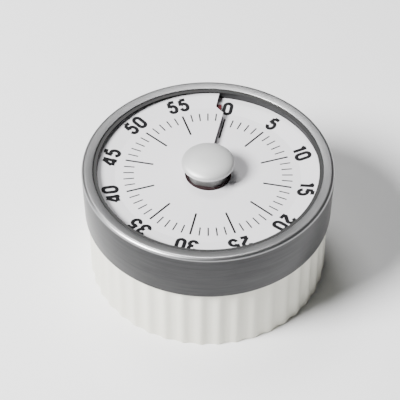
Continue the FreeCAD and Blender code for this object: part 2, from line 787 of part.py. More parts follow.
def make_train():
    bottom = SIZES["lower_plate"] + SIZES["plate_thickness"]
    top = SIZES["upper_plate"]
    clear = SIZES["running_clearance"]
    arbor = SIZES["arbor_radius"] + FIT
    drive = toothed_wheel(
        DRIVE_TEETH, DRIVE_MODULE, SIZES["shaft_radius"] + clear, SIZES["drive_wheel_height"], spokes=5
    )
    solid_part("drive_wheel", placed(drive, MAIN, bearing(MAIN, SECOND)))

    stages = [
        ("second", SECOND_TEETH, DRIVE_MODULE, SECOND_MODULE, MAIN, SECOND, THIRD, 22.6, 24.4),
        ("third", THIRD_TEETH, SECOND_MODULE, THIRD_MODULE, SECOND, THIRD, ESCAPE, 20.8, 22.4),
    ]
    for name, teeth, pinion_module, wheel_module, driver, here, driven, low, high in stages:
        shaft = pinion_arbor(pinion_module, low, high, bottom, top)
        solid_part(f"{name}_arbor", placed(shaft, here, gap_towards(driver, here)))
        wheel = toothed_wheel(teeth, wheel_module, arbor, SIZES[f"{name}_wheel_height"])
        solid_part(f"{name}_wheel", placed(wheel, here, bearing(here, driven)))

    shaft = pinion_arbor(THIRD_MODULE, 24.5, 25.8, bottom, top)
    solid_part("escape_arbor", placed(shaft, ESCAPE, gap_towards(THIRD, ESCAPE)))
    solid_part("escape_wheel", escape_wheel(arbor))


def escape_wheel(bore):
    """Fifteen slender pointed teeth. Each pallet pin stands a quarter pitch from the gap's middle."""
    tip = SIZES["escape_wheel_radius"]
    root = tip - ESCAPE_TOOTH_DEPTH
    step = 360 / ESCAPE_TEETH
    corners = []
    for k in range(ESCAPE_TEETH):
        middle = k * step
        corners += [
            polar(root, middle - 5),
            polar(tip, middle - 1),
            polar(tip, middle + 1),
            polar(root, middle + 3),
        ]
    outline = Part.makePolygon(corners + corners[:1])
    low = SIZES["escape_wheel_height"]
    wheel = slab([outline, circle_wire(bore)], low, low + ESCAPE_SHEET)
    # the line to the pallet arbor bisects the two pins, which stand half a span to either side
    first_pin = bearing(ESCAPE, PALLET) + PALLET_SPAN_TEETH * step / 2
    return placed(wheel, ESCAPE, first_pin + step / 4)


def bar(start, end, width, low, high):
    """A flat bar with round ends."""
    along = (end - start).normalize()
    across = Vector(-along.y, along.x, 0) * (width / 2)
    beyond = along * (width / 2)
    outline = Part.Wire(
        [
            Part.LineSegment(start - across, end - across).toShape(),
            Part.Arc(end - across, end + beyond, end + across).toShape(),
            Part.LineSegment(end + across, start + across).toShape(),
            Part.Arc(start + across, start - beyond, start - across).toShape(),
        ]
    )
    return slab([outline], low, high)


def make_pallets():
    """The rocking lever: two steel pins astride the escape wheel, and a weight on each tail."""
    bottom = SIZES["lower_plate"] + SIZES["plate_thickness"]
    solid_part("pallet_arbor", placed(arbor_shape(bottom, SIZES["upper_plate"]), PALLET))
    wheel_low = SIZES["escape_wheel_height"]
    low, high = wheel_low + 1.2, wheel_low + 1.9
    reach = SIZES["escape_wheel_radius"] + PALLET_PIN_RADIUS + PALLET_CLEARANCE
    towards = bearing(ESCAPE, PALLET)
    half_span = PALLET_SPAN_TEETH * 180 / ESCAPE_TEETH
    pins = [ESCAPE + polar(reach, towards + side * half_span) for side in (1, -1)]
    weights = [PALLET + polar(PALLET_WEIGHT_REACH, towards + side * PALLET_WEIGHT_SWEEP) for side in (1, -1)]
    lever = Part.makeCylinder(PALLET_HUB_RADIUS, high - low, PALLET + Vector(0, 0, low))
    for far in (*pins, *weights):
        lever = lever.fuse(bar(PALLET, far, PALLET_BAR_WIDTH, low, high))
    holes = [(PALLET, SIZES["arbor_radius"] + FIT)] + [(spot, PALLET_PIN_RADIUS) for spot in pins]
    holes += [(spot, RIVET_RADIUS) for spot in weights]
    for spot, radius in holes:
        lever = lever.cut(Part.makeCylinder(radius, 4, spot + Vector(0, 0, low - 1)))
    solid_part("pallet_lever", lever.removeSplitter())
    pin_low = wheel_low - 0.3
    pin_radius, pin_length = PALLET_PIN_RADIUS - FIT, high - pin_low
    feet = [spot + Vector(0, 0, pin_low) for spot in pins]
    pin_shapes = [Part.makeCylinder(pin_radius, pin_length, foot) for foot in feet]
    solid_part("pallet_pins", Part.makeCompound(pin_shapes))
    weight_shapes = []
    for spot in weights:
        under = spot + Vector(0, 0, low - PALLET_WEIGHT_HEIGHT - 0.02)
        weight = Part.makeCylinder(PALLET_WEIGHT_RADIUS, PALLET_WEIGHT_HEIGHT, under)
        rivet = Part.makeCylinder(RIVET_RADIUS - FIT, high - low + 0.3, spot + Vector(0, 0, low - 0.1))
        weight_shapes.append(weight.fuse(rivet))
    solid_part("pallet_weights", Part.makeCompound(weight_shapes))


# ---------------------------------------------------------------- movement frame


def plate_shape(low, holes, windows):
    plate = [circle_wire(SIZES["plate_radius"])]
    for spot, radius in holes:
        plate.append(circle_wire(radius, spot))
    for spot, radius in windows:
        plate.append(circle_wire(radius, spot))
    return slab(plate, low, low + SIZES["plate_thickness"])


def make_plates():
    clear = SIZES["running_clearance"]
    pivot_hole = SIZES["pivot_radius"] + clear
    pivots = [(spot, pivot_hole) for spot in (SECOND, THIRD, ESCAPE, PALLET)]
    pillars = [polar(SIZES["pillar_circle"], PILLAR_ANGLES + PILLAR_SPACING * k) for k in range(3)]
    screws = [(spot, SIZES["screw_shank"] + 0.1) for spot in pillars]
    windows = [(polar(24, 185), 4.5), (polar(24, 320), 5.0)]
    lower = [(MAIN, SIZES["main_pivot_radius"] + clear), (HAMMER, SIZES["arbor_radius"] + clear)]
    lower += [*pivots, *screws]
    upper = [(MAIN, SIZES["shaft_radius"] + clear), (HAMMER, pivot_hole), *pivots, *screws]
    solid_part("lower_plate", plate_shape(SIZES["lower_plate"], lower, windows[:1]))
    solid_part("upper_plate", plate_shape(SIZES["upper_plate"], upper, windows))


def make_pillars():
    body = new_body("pillars", PILLAR_ANGLES)
    bottom = "lower_plate + plate_thickness"
    revolve(
        body,
        [
            ("pillar_circle + screw_shank + 0.02", bottom),
            ("pillar_circle + pillar_radius", bottom),
            ("pillar_circle + pillar_radius", "upper_plate"),
            ("pillar_circle + screw_shank + 0.02", "upper_plate"),
        ],
        off_axis="pillar_circle",
    )
    repeat(body, [body.Tip], 3)


def make_carrier():
    """The black plastic floor under the dial; the movement hangs from its three bosses."""
    carrier = new_body("dial_carrier", PILLAR_ANGLES)
    top = "seat_height + carrier_thickness"
    revolve(
        carrier,
        [
            ("shaft_neck_radius + running_clearance", "seat_height - carrier_hub_drop"),
            ("carrier_hub_radius", "seat_height - carrier_hub_drop"),
            ("carrier_hub_radius", "seat_height"),
            ("lens_radius", "seat_height"),
            ("lens_radius", f"{top} - 0.02"),
            ("shaft_neck_radius + running_clearance", f"{top} - 0.02"),
        ],
    )
    boss = new_sketch(carrier, "XY_Plane", "upper_plate + plate_thickness")
    add_circle(boss, "pillar_circle", "0", "carrier_boss_radius")
    post = pad(carrier, boss, "seat_height - upper_plate - plate_thickness + 0.5")
    hole = new_sketch(carrier, "XY_Plane", top)
    add_circle(hole, "pillar_circle", "0", "screw_shank + 0.1")
    through = cut(carrier, hole, "10")
    head = new_sketch(carrier, "XY_Plane", top)
    add_circle(head, "pillar_circle", "0", "screw_head + 0.1")
    repeat(carrier, [post, through, cut(carrier, head, "screw_head_height + 0.1")], 3)


# ---------------------------------------------------------------- mainspring and strike work


def make_mainspring():
    """A spiral strip made of half circles about two centres, each half turn a little larger."""
    half_turns = 13
    step = SIZES["spring_pitch"] / 2
    start = SIZES["spring_inner_radius"]
    strip = SIZES["spring_strip"]

    def spiral(offset):
        arcs = []
        for k in range(half_turns):
            centre = Vector(0 if k % 2 == 0 else step, 0, 0)
            radius = start + k * step + offset
            side = 1 if k % 2 == 0 else -1
            ends = [centre + Vector(side * radius, 0, 0), centre - Vector(side * radius, 0, 0)]
            arcs.append((ends[0], centre + Vector(0, side * radius, 0), ends[1]))
        return arcs

    inner, outer = spiral(0), spiral(strip)
    edges = [Part.Arc(*arc).toShape() for arc in inner + outer]
    edges.append(Part.LineSegment(inner[0][0], outer[0][0]).toShape())
    edges.append(Part.LineSegment(inner[-1][2], outer[-1][2]).toShape())
    outline = Part.Wire(Part.__sortEdges__(edges))
    low = SIZES["spring_bottom"]
    spring = slab([outline], low, low + SIZES["spring_width"])
    solid_part("mainspring", spring)
    # the strip ends against the outside of a post on the lower plate
    post_radius = 1.0
    post = outer[-1][2] - Vector(post_radius + 0.02, 0, 0)
    bottom = SIZES["lower_plate"] + SIZES["plate_thickness"]
    height = low + SIZES["spring_width"] - bottom + 0.1
    solid_part("spring_post", Part.makeCylinder(post_radius, height, post + Vector(0, 0, bottom)))


def make_gong():
    top, low, sheet_metal = "gong_height", "gong_bottom", "gong_sheet"
    turned(
        "gong",
        [
            ("gong_hole", low),
            ("gong_radius - gong_corner", low),
            ("gong_radius", f"{low} + gong_corner"),
            ("gong_radius", top),
            (f"gong_radius - {sheet_metal}", top),
            (f"gong_radius - {sheet_metal}", f"{low} + gong_corner_inside"),
            ("gong_radius - gong_corner_inside", f"{low} + {sheet_metal}"),
            ("gong_hole", f"{low} + {sheet_metal}"),
        ],
    )
    post = ("gong_post_bore", "gong_post_radius", f"{low} + {sheet_metal}", "lower_plate - 0.02")
    turned("gong_post", ring_section(*post))
    turned(
        "gong_screw",
        [
            ("0", f"{low} - gong_screw_head_height"),
            ("gong_screw_head", f"{low} - gong_screw_head_height"),
            ("gong_screw_head", low),
            ("gong_screw_radius", low),
            ("gong_screw_radius", f"{low} + gong_screw_length"),
            ("0", f"{low} + gong_screw_length"),
        ],
    )


def make_hammer():
    """The trip lever rides just clear of the cam, and its arbor carries the hammer below the plate."""
    bottom, top = SIZES["lower_plate"] + SIZES["plate_thickness"], SIZES["upper_plate"]
    radius = SIZES["arbor_radius"]
    foot = HAMMER + Vector(0, 0, HAMMER_ARBOR_BOTTOM)
    shaft = Part.makeCylinder(radius, top - 0.1 - HAMMER_ARBOR_BOTTOM, foot)
    pivot_foot = HAMMER + Vector(0, 0, top - 0.2)
    pivot = Part.makeCylinder(SIZES["pivot_radius"], SIZES["plate_thickness"], pivot_foot)
    solid_part("hammer_arbor", shaft.fuse(pivot))

    # The bar is tangent to a circle clear of the cam, and a finger at its end points to the notch.
    track = SIZES["cam_radius"] + LEVER_TRACK
    touch_angle = HAMMER_ARBOR_ANGLE - math.degrees(math.acos(track / HAMMER_ARBOR_CIRCLE))
    touch = polar(track, touch_angle)
    low, high = SIZES["cam_bottom"], SIZES["cam_bottom"] + LEVER_SHEET
    lever = bar(HAMMER, touch, HAMMER_ARM_WIDTH, low, high)
    finger_start = Vector(SIZES["cam_radius"] + 0.25, -FINGER_WIDTH / 2, low)
    finger = Part.makeBox(FINGER_LENGTH, FINGER_WIDTH, high - low, finger_start)
    finger.rotate(Vector(0, 0, 0), Vector(0, 0, 1), touch_angle)
    bore = Part.makeCylinder(radius + FIT, 3, HAMMER + Vector(0, 0, bottom))
    solid_part("trip_lever", lever.fuse(finger).cut(bore).removeSplitter())

    head = polar(HAMMER_HEAD_CIRCLE, HAMMER_ARBOR_ANGLE + HAMMER_HEAD_SWEEP)
    arm = bar(HAMMER, head, HAMMER_ARM_WIDTH, HAMMER_ARM_BOTTOM, HAMMER_ARM_TOP)
    for spot, hole in ((HAMMER, radius + FIT), (head, HAMMER_NECK_RADIUS)):
        arm = arm.cut(Part.makeCylinder(hole, 3, spot + Vector(0, 0, HAMMER_ARM_BOTTOM - 0.7)))
    solid_part("hammer_arm", arm)
    height = HAMMER_HEAD_TOP - HAMMER_HEAD_BOTTOM
    weight = Part.makeCylinder(HAMMER_HEAD_RADIUS, height, head + Vector(0, 0, HAMMER_HEAD_BOTTOM))
    neck_low = HAMMER_HEAD_TOP - 0.18
    neck = Part.makeCylinder(HAMMER_NECK_RADIUS - FIT, 1.2, head + Vector(0, 0, neck_low))
    solid_part("hammer_head", weight.fuse(neck))

    # A leaf spring on a stud leans on the trip lever.
    stud = HAMMER + polar(STUD_DISTANCE, HAMMER_ARBOR_ANGLE + STUD_SWEEP)
    towards_lever = ((HAMMER + touch) * 0.5 - stud).normalize()
    stud_shape = Part.makeCylinder(STUD_RADIUS, STUD_HEIGHT, stud + Vector(0, 0, bottom))
    leaf_low = bottom + 0.4
    leaf_end = stud + towards_lever * LEAF_LENGTH
    leaf = bar(stud, leaf_end, LEAF_SHEET, leaf_low, leaf_low + LEAF_WIDTH)
    solid_part("hammer_spring", stud_shape.fuse(leaf).removeSplitter())


# ---------------------------------------------------------------- build, check and write

make_base_cup()
make_bottom_cover()
screw_group(
    "cover_screws",
    "cover_screw_circle",
    COVER_SCREW_ANGLES,
    "0.1",
    "0.1 + screw_head_height",
    "cover_screw_tip",
)
make_magnets()
make_steel_ring()
make_lens()
make_dial()
make_dial_ring()
make_red_disc()
make_red_disc_hub()
make_carrier()
screw_group(
    "movement_screws",
    "pillar_circle",
    PILLAR_ANGLES,
    "seat_height + carrier_thickness - screw_head_height - 0.1",
    "seat_height + carrier_thickness - 0.12",
    "carrier_screw_tip",
)
make_knob()
make_main_shaft()
make_trip_cam()
make_clutch()
make_train()
make_pallets()
make_plates()
make_pillars()
screw_group(
    "plate_screws",
    "pillar_circle",
    PILLAR_ANGLES,
    "lower_plate - screw_head_height",
    "lower_plate - 0.02",
    "plate_screw_tip",
)
make_mainspring()
make_gong()
make_hammer()
doc.recompute()

for item in doc.Objects:
    if "Invalid" in item.State or "Error" in item.State:
        raise RuntimeError(f"{item.Label} did not rebuild: {item.State}")
for piece in parts:
    if piece.Shape.isNull() or not piece.Shape.isValid() or piece.Shape.Volume <= 0:
        raise RuntimeError(f"{piece.Label} has no valid solid")
os.makedirs("parts", exist_ok=True)
for piece in parts:
    piece.Shape.exportStep(f"parts/{piece.Label}.step")
    print(f"{piece.Label}: {len(piece.Shape.Solids)} solid(s), {piece.Shape.Volume:.2f} mm3")
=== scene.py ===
import math

import bmesh
import bpy
from mathutils import Matrix, Vector
from mathutils.bvhtree import BVHTree


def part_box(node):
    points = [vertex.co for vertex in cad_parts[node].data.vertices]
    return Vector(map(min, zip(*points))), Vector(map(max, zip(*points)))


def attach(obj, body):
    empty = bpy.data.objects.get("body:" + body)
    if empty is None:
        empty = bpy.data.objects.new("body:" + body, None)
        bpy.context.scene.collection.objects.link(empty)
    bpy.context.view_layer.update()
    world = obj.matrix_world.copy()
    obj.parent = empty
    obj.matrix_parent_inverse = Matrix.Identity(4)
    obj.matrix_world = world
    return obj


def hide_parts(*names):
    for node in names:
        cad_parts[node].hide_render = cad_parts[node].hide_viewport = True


# A clockwork kitchen timer: the looks of its cup, ring, dial, print and knob, round the fixed frame.
# Metres. The centre of the underside is the origin, zero on the dial is at +Y, minutes run clockwise.

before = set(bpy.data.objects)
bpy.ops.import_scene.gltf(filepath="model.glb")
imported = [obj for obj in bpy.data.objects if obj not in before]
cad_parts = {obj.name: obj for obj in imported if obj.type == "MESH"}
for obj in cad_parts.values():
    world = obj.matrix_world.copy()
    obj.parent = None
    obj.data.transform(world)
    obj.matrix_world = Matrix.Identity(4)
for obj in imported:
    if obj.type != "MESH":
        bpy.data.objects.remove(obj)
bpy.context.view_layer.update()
MM = 0.001

# ---------------------------------------------------------------- sizes, from the frame where it has them

RING_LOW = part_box("steel_ring")[0]
CUP_LOW, CUP_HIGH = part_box("base_cup")
CAP_LOW, CAP_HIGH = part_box("knob_cap")
COVER_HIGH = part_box("bottom_cover")[1]
WINDOW_LOW, WINDOW_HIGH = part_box("lens")

RING_RADIUS = 38.0 * MM
RING_FOOT_RADIUS = 37.6 * MM
RING_SHEET = 0.45 * MM
RING_SHOULDER = 39.85 * MM
RING_LIP_RADIUS = 34.6 * MM
RING_LIP_HEIGHT = 39.5 * MM
# from this height up the steel is painted paler: a painted reflection on the top band
RING_SHEEN_PAINT_START = 38.6 * MM
RING_SHEEN_PAINT_BLEND = 0.6 * MM

CUP_RADIUS = 36.7 * MM
CUP_BORE = 34.6 * MM
CUP_COLLAR_RADIUS = 37.0 * MM
CUP_SKIRT_HEIGHT = 24.2 * MM
SEAT_BORE = 35.3 * MM
SEAT_HEIGHT = 31.0 * MM
COVER_BORE = 35.2 * MM
COVER_SEAT_HEIGHT = 0.52 * COVER_HIGH[2]
FLUTES = 42
FLUTE_DEPTH = 0.5 * MM
RIDGE_NARROWNESS = 1.3

DIAL_RISE = 1.9 * MM
DIAL_ZERO_HEIGHT = 35.4 * MM
INK = 0.03 * MM
MARK_INK = 0.08 * MM
# a dark ring painted on the window's edge between these radii: painted shade
WINDOW_SHADE_INNER = 33.4 * MM
WINDOW_SHADE_OUTER = 34.55 * MM

TICKS = 60
TICK_OUTER = 25.5 * MM
LONG_TICK_INNER = 16.9 * MM
SHORT_TICK_INNER = 22.3 * MM
LONG_TICK_WIDTH = 0.56 * MM
SHORT_TICK_WIDTH = 0.38 * MM

NUMERAL_MIDDLE = 30.0 * MM
NUMERAL_HEIGHT = 5.3 * MM
NUMERAL_WIDTH = 3.3 * MM
NUMERAL_STROKE = 1.16 * MM
NUMERAL_GAP = 0.3 * MM
NUMERAL_STEP = 5

CAP_SPIGOT_RADIUS = 4.0 * MM
CAP_SPIGOT_DEPTH = 1.1 * MM
CAP_CROWN = 2.4 * MM
CAP_FULLNESS = 2 / 2.5
CAP_STEPS = 22
AXIS_GAP = 0.02 * MM

SMOOTH_ANGLE = 32.0
LIGHT_AIM = (0, 0, 0.03)
LIGHT_DISTANCE = 1.0
CAMERA_LEFT = 2.4 * MM
CAMERA_DOWN = 7.24 * MM


# ---------------------------------------------------------------- node trees


class Level:
    """A number on a socket. Arithmetic on it adds the Math nodes."""

    def __init__(self, tree, socket):
        self.tree = tree
        self.socket = socket

    def math(self, operation, *others, clamp=False):
        settings = {"operation": operation, "use_clamp": clamp}
        return self.tree.node("ShaderNodeMath", settings, self, *others)

    def __add__(self, other):
        return self.math("ADD", other)

    __radd__ = __add__

    def __sub__(self, other):
        return self.math("SUBTRACT", other)

    def __rsub__(self, other):
        return self.tree.node("ShaderNodeMath", {"operation": "SUBTRACT"}, other, self)

    def __mul__(self, other):
        return self.math("MULTIPLY", other)

    __rmul__ = __mul__

    def __truediv__(self, other):
        return self.math("DIVIDE", other)

    def __rtruediv__(self, other):
        return self.tree.node("ShaderNodeMath", {"operation": "DIVIDE"}, other, self)

    def __pow__(self, other):
        return self.math("POWER", other)

    def clamped(self):
        return self.math("ADD", 0.0, clamp=True)


class Tree:
    """Adds nodes to a tree. Each call gives the node's first output as a Level."""

    def __init__(self, tree):
        self.tree = tree

    def node(self, kind, settings=None, *values, output=0, **named):
        node = self.tree.nodes.new(kind)
        for key, setting in (settings or {}).items():
            setattr(node, key, setting)
        inputs = [*enumerate(values), *((name.replace("_", " "), value) for name, value in named.items())]
        for key, value in inputs:
            if isinstance(value, Level):
                self.tree.links.new(value.socket, node.inputs[key])
            elif value is not None:
                node.inputs[key].default_value = value
        self.last = node
        return Level(self, node.outputs[output]) if len(node.outputs) else None

    def out(self, output):
        """Another output of the node that was added last."""
        return Level(self, self.last.outputs[output])


def colour_mix(tree, share, low, high):
    """A blend of two colours; plain colours are given as red, green, blue."""
    node = tree.tree.nodes.new("ShaderNodeMix")
    node.data_type = "RGBA"
    tree.tree.links.new(share.socket, node.inputs["Factor"])
    for socket, colour in ((node.inputs[6], low), (node.inputs[7], high)):
        if isinstance(colour, Level):
            tree.tree.links.new(colour.socket, socket)
        else:
            socket.default_value = (*colour, 1)
    return Level(tree, node.outputs[2])


def start_material(name, metallic=0.0, coat=0.0, alpha=1.0, specular=0.5):
    """A new material with the values that are the same all over set on its shader."""
    material = bpy.data.materials.new(name)
    material.use_nodes = True
    tree = Tree(material.node_tree)
    shader = material.node_tree.nodes["Principled BSDF"]
    shader.inputs["Metallic"].default_value = metallic
    shader.inputs["Coat Weight"].default_value = coat
    shader.inputs["Coat Roughness"].default_value = 0.15
    shader.inputs["Alpha"].default_value = alpha
    shader.inputs["Specular IOR Level"].default_value = specular
    return material, tree, shader


def connect(tree, shader, **levels):
    """Links what changes over the surface to the shader; names have _ for a space."""
    for name, level in levels.items():
        tree.tree.links.new(level.socket, shader.inputs[name.replace("_", " ")])


def place_of(tree):
    """The point being shaded, and its x, y and z, in the object's own frame."""
    place = tree.node("ShaderNodeTexCoord", output="Object")
    x = tree.node("ShaderNodeSeparateXYZ", None, place)
    return place, x, tree.out(1), tree.out(2)


def noise(tree, place, scale, detail=3.0, roughness=0.5):
    grain = {"Vector": place, "Scale": scale, "Detail": detail, "Roughness": roughness}
    return tree.node("ShaderNodeTexNoise", None, **grain)


def bump(tree, height, distance, strength=1.0):
    return tree.node("ShaderNodeBump", None, Strength=strength, Distance=distance, Height=height)


def moulded(name, colour, shade, roughness=0.42, grain=0.012 * MM, speck=0.0):
    """Moulded plastic: a soft drift of tone, a fine grain, and a few dull and shiny patches."""
    material, tree, shader = start_material(name)
    place, _, _, _ = place_of(tree)
    drift = noise(tree, place, 70.0, detail=4.0)
    grain_noise = noise(tree, place, 3200.0, detail=2.0)
    wear = noise(tree, place, 420.0, detail=5.0, roughness=0.65)
    tone = colour_mix(tree, (drift * 1.6 - 0.3).clamped(), shade, colour)
    if speck:
        dust = (noise(tree, place, 1500.0, detail=1.0) * 9.0 - 6.1).clamped()
        tone = colour_mix(tree, dust * speck, tone, [0.55 * c for c in shade])
    connect(
        tree,
        shader,
        Base_Color=tone,
        Roughness=roughness - 0.07 + wear * 0.14,
        Normal=bump(tree, grain_noise + drift * 2.0, grain),
    )
    return material


def worked_metal(name, colour, shade, roughness=0.3, grain=0.006 * MM, scale=900.0, tarnish=0.5):
    """Stamped or plated metal: fine pits, soft tarnish and a rolled surface."""
    material, tree, shader = start_material(name, metallic=1.0)
    place, _, _, _ = place_of(tree)
    cloud = noise(tree, place, 160.0, detail=5.0, roughness=0.6)
    pits = noise(tree, place, scale, detail=3.0)
    tone = colour_mix(tree, (cloud * 2.4 - 0.75).clamped() * tarnish, colour, shade)
    connect(
        tree,
        shader,
        Base_Color=tone,
        Roughness=roughness - 0.05 + pits * 0.12 + cloud * 0.08,
        Normal=bump(tree, pits, grain),
    )
    return material


def streaks(tree, scale_round, scale_across, detail=3.0):
    """Noise drawn out round the main axis, without a seam."""
    _, x, y, z = place_of(tree)
    radius = (x * x + y * y) ** 0.5 + 0.00001
    across = (z - radius) * scale_across
    round_x, round_y = x / radius * scale_round, y / radius * scale_round
    direction = tree.node("ShaderNodeCombineXYZ", None, round_x, round_y, across)
    return noise(tree, direction, 1.0, detail=detail, roughness=0.6)


def brushed_round(name, colour, shade, painted_sheen, roughness, depth):
    """Metal brushed round its axis: hairlines along the circle and softer bands; from the shoulder up it
    is painted paler, a painted reflection of the light above.
    """
    material, tree, shader = start_material(name, metallic=1.0)
    place, _, _, height = place_of(tree)
    lengthwise, fine = 5.0, 5200.0
    hair = streaks(tree, lengthwise, fine)
    band = streaks(tree, lengthwise * 0.35, fine * 0.17, detail=2.0)
    cloud = noise(tree, place, 95.0, detail=5.0, roughness=0.62)
    brushing = (hair * 0.75 + band * 0.65 + (cloud - 0.5) * 0.35 - 0.2).clamped()
    tone = colour_mix(tree, brushing, shade, colour)
    # painted reflection: the top band is painted paler than the skirt, for the bright light it reflects
    rim = ((height - RING_SHEEN_PAINT_START) / RING_SHEEN_PAINT_BLEND).clamped()
    tone = colour_mix(tree, rim * (0.8 + hair * 0.3), tone, painted_sheen)
    connect(
        tree,
        shader,
        Base_Color=tone,
        Roughness=roughness - 0.08 + hair * 0.1 + cloud * 0.1,
        Normal=bump(tree, hair + band * 0.6, depth),
    )
    return material


def satin(name, colour, shade, roughness, metallic):
    """Fine bead-blasted and lacquered metal, too fine for single marks to show."""
    material, tree, shader = start_material(name, metallic=metallic)
    place, _, _, _ = place_of(tree)
    blast = noise(tree, place, 5200.0, detail=2.0)
    cloud = noise(tree, place, 130.0, detail=4.0)
    tone = colour_mix(tree, (cloud * 1.5 - 0.25).clamped(), shade, colour)
    connect(
        tree,
        shader,
        Base_Color=tone,
        Roughness=roughness - 0.05 + blast * 0.1,
        Normal=bump(tree, blast, 0.003 * MM),
    )
    return material


def printed_sheet():
    """The dial's white sheet, with the slightest lavender and a silk-screened tooth."""
    material, tree, shader = start_material("dial_white_sheet")
    place, _, _, _ = place_of(tree)
    drift = noise(tree, place, 45.0, detail=3.0)
    tooth = noise(tree, place, 2600.0, detail=2.0)
    tone = colour_mix(tree, drift, (0.735, 0.722, 0.745), (0.785, 0.775, 0.795))
    surface = bump(tree, tooth, 0.004 * MM)
    connect(tree, shader, Base_Color=tone, Roughness=0.44 + tooth * 0.1, Normal=surface)
    return material


def ink(name, colour, thin):
    """Screen-printed matte ink: a little uneven where the screen left it thin."""
    material, tree, shader = start_material(name, specular=0.12)
    place, _, _, _ = place_of(tree)
    cover = noise(tree, place, 2200.0, detail=3.0)
    tone = colour_mix(tree, (cover * 1.5 - 0.35).clamped(), thin, colour)
    surface = bump(tree, cover, 0.004 * MM)
    connect(tree, shader, Base_Color=tone, Roughness=0.5 + cover * 0.15, Normal=surface)
    return material


def clear_window():
    """Clear sheet: almost all light goes through, and a faint sharp sheen stays."""
    material, tree, shader = start_material("clear_window", metallic=1.0, alpha=0.005)
    place, _, _, _ = place_of(tree)
    film = noise(tree, place, 120.0, detail=4.0)
    tone = colour_mix(tree, film, (0.93, 0.95, 0.96), (0.97, 0.98, 0.98))
    connect(tree, shader, Base_Color=tone, Roughness=0.03 + film * 0.04)
    return material


def sheet_red():
    """The red disc: thin glossy film with fine handling marks."""
    material, tree, shader = start_material("red_film", coat=0.2)
    place, _, _, _ = place_of(tree)
    drift = noise(tree, place, 80.0, detail=3.0)
    rubs = noise(tree, place, 700.0, detail=5.0, roughness=0.7)
    tone = colour_mix(tree, drift, (0.085, 0.008, 0.013), (0.12, 0.012, 0.019))
    surface = bump(tree, rubs, 0.003 * MM)
    connect(tree, shader, Base_Color=tone, Roughness=0.32 + rubs * 0.16, Normal=surface)
    return material


CREAM = moulded("cream_cup", (0.775, 0.765, 0.68), (0.735, 0.725, 0.63), roughness=0.4, speck=0.05)
CREAM_BACK = moulded("cream_cover", (0.745, 0.735, 0.65), (0.705, 0.695, 0.60), roughness=0.5, speck=0.08)
# the third colour is the top band's painted reflection
RING_STEEL = brushed_round(
    "brushed_ring", (0.07, 0.07, 0.0715), (0.024, 0.024, 0.025), (0.45, 0.45, 0.455), 0.33, 0.008 * MM
)
CAP_METAL = satin("satin_cap", (0.64, 0.645, 0.635), (0.585, 0.59, 0.585), 0.5, metallic=0.45)
# the stem is painted darker than the cap: painted shade under the cap
STEM_METAL_PAINTED_SHADE = satin("satin_stem_painted_shade", (0.27, 0.27, 0.266), (0.22, 0.22, 0.216), 0.5, metallic=0.7)
BLACK = moulded("black_ring", (0.010, 0.010, 0.011), (0.007, 0.007, 0.008), roughness=0.5, grain=0.01 * MM)
WHITE_SHEET = printed_sheet()
NUMERAL_INK = ink("numeral_ink", (0.004, 0.004, 0.005), (0.012, 0.012, 0.013))
MINUTE_INK = ink("minute_ink", (0.006, 0.006, 0.007), (0.02, 0.019, 0.021))
# the window's dark ring: painted shade, not print
WINDOW_SHADE_INK = ink("painted_window_shade", (0.03, 0.03, 0.03), (0.045, 0.045, 0.045))
RED = sheet_red()
RED_HUB = moulded("red_hub", (0.018, 0.004, 0.006), (0.012, 0.003, 0.004), roughness=0.6)
WINDOW = clear_window()
BRASS = worked_metal("stamped_brass", (0.78, 0.57, 0.25), (0.52, 0.36, 0.16), roughness=0.3)
TURNED_BRASS = worked_metal("turned_brass", (0.80, 0.60, 0.28), (0.6, 0.43, 0.2), 0.22, scale=1500.0)
ZINC = worked_metal("zinc_plate", (0.62, 0.63, 0.62), (0.45, 0.47, 0.48), roughness=0.34)
GROUND_STEEL = worked_metal("ground_steel", (0.55, 0.55, 0.56), (0.42, 0.42, 0.43), 0.2, scale=2200.0)
SCREW_STEEL = worked_metal("screw_steel", (0.56, 0.56, 0.55), (0.36, 0.36, 0.36), 0.3, scale=1800.0)
BLUED = worked_metal("blued_spring", (0.10, 0.13, 0.24), (0.16, 0.13, 0.16), roughness=0.26, tarnish=0.8)
NICKEL = worked_metal("nickel_gong", (0.70, 0.69, 0.66), (0.55, 0.54, 0.52), 0.12, grain=0.003 * MM)
FERRITE = moulded("ferrite", (0.035, 0.035, 0.038), (0.02, 0.02, 0.022), roughness=0.6, grain=0.03 * MM)


# ---------------------------------------------------------------- shapes


def rounded_profile(corners, steps=6):
    """Corners as (radius, height, rounding); each rounding is drawn as an arc of a few points."""
    points = []
    count = len(corners)
    for k, (radius, height, rounding) in enumerate(corners):
        here = Vector((radius, height))
        if not rounding:
            points.append(here)
            continue
        before = Vector(corners[k - 1][:2]) - here
        after = Vector(corners[(k + 1) % count][:2]) - here
        half = before.angle(after) / 2
        start = here + before.normalized() * rounding / math.tan(half)
        end = here + after.normalized() * rounding / math.tan(half)
        centre = here + (before.normalized() + after.normalized()).normalized() * rounding / math.sin(half)
        first, last = start - centre, end - centre
        sweep = first.angle_signed(last)
        for step in range(steps + 1):
            points.append(centre + Matrix.Rotation(-sweep * step / steps, 2) @ first)
    return points


def lathe(name, profile, segments=288, marks=None):
    """A closed profile turned round the main axis. marks are kept on the points of each ring."""
    mesh = bpy.data.meshes.new(name)
    count = len(profile)
    spots = []
    for k in range(segments):
        angle = 2 * math.pi * k / segments
        for radius, height in profile:
            spots.append((radius * math.cos(angle), radius * math.sin(angle), height))
    faces = []
    for k in range(segments):
        this, following = k * count, (k + 1) % segments * count
        for j in range(count):
            after = (j + 1) % count
            faces.append((this + j, following + j, following + after, this + after))
    mesh.from_pydata(spots, [], faces)
    if marks:
        layer = mesh.attributes.new("fluted", "FLOAT", "POINT")
        for k in range(len(spots)):
            layer.data[k].value = marks[k % count]
    return finish_mesh(name, mesh)


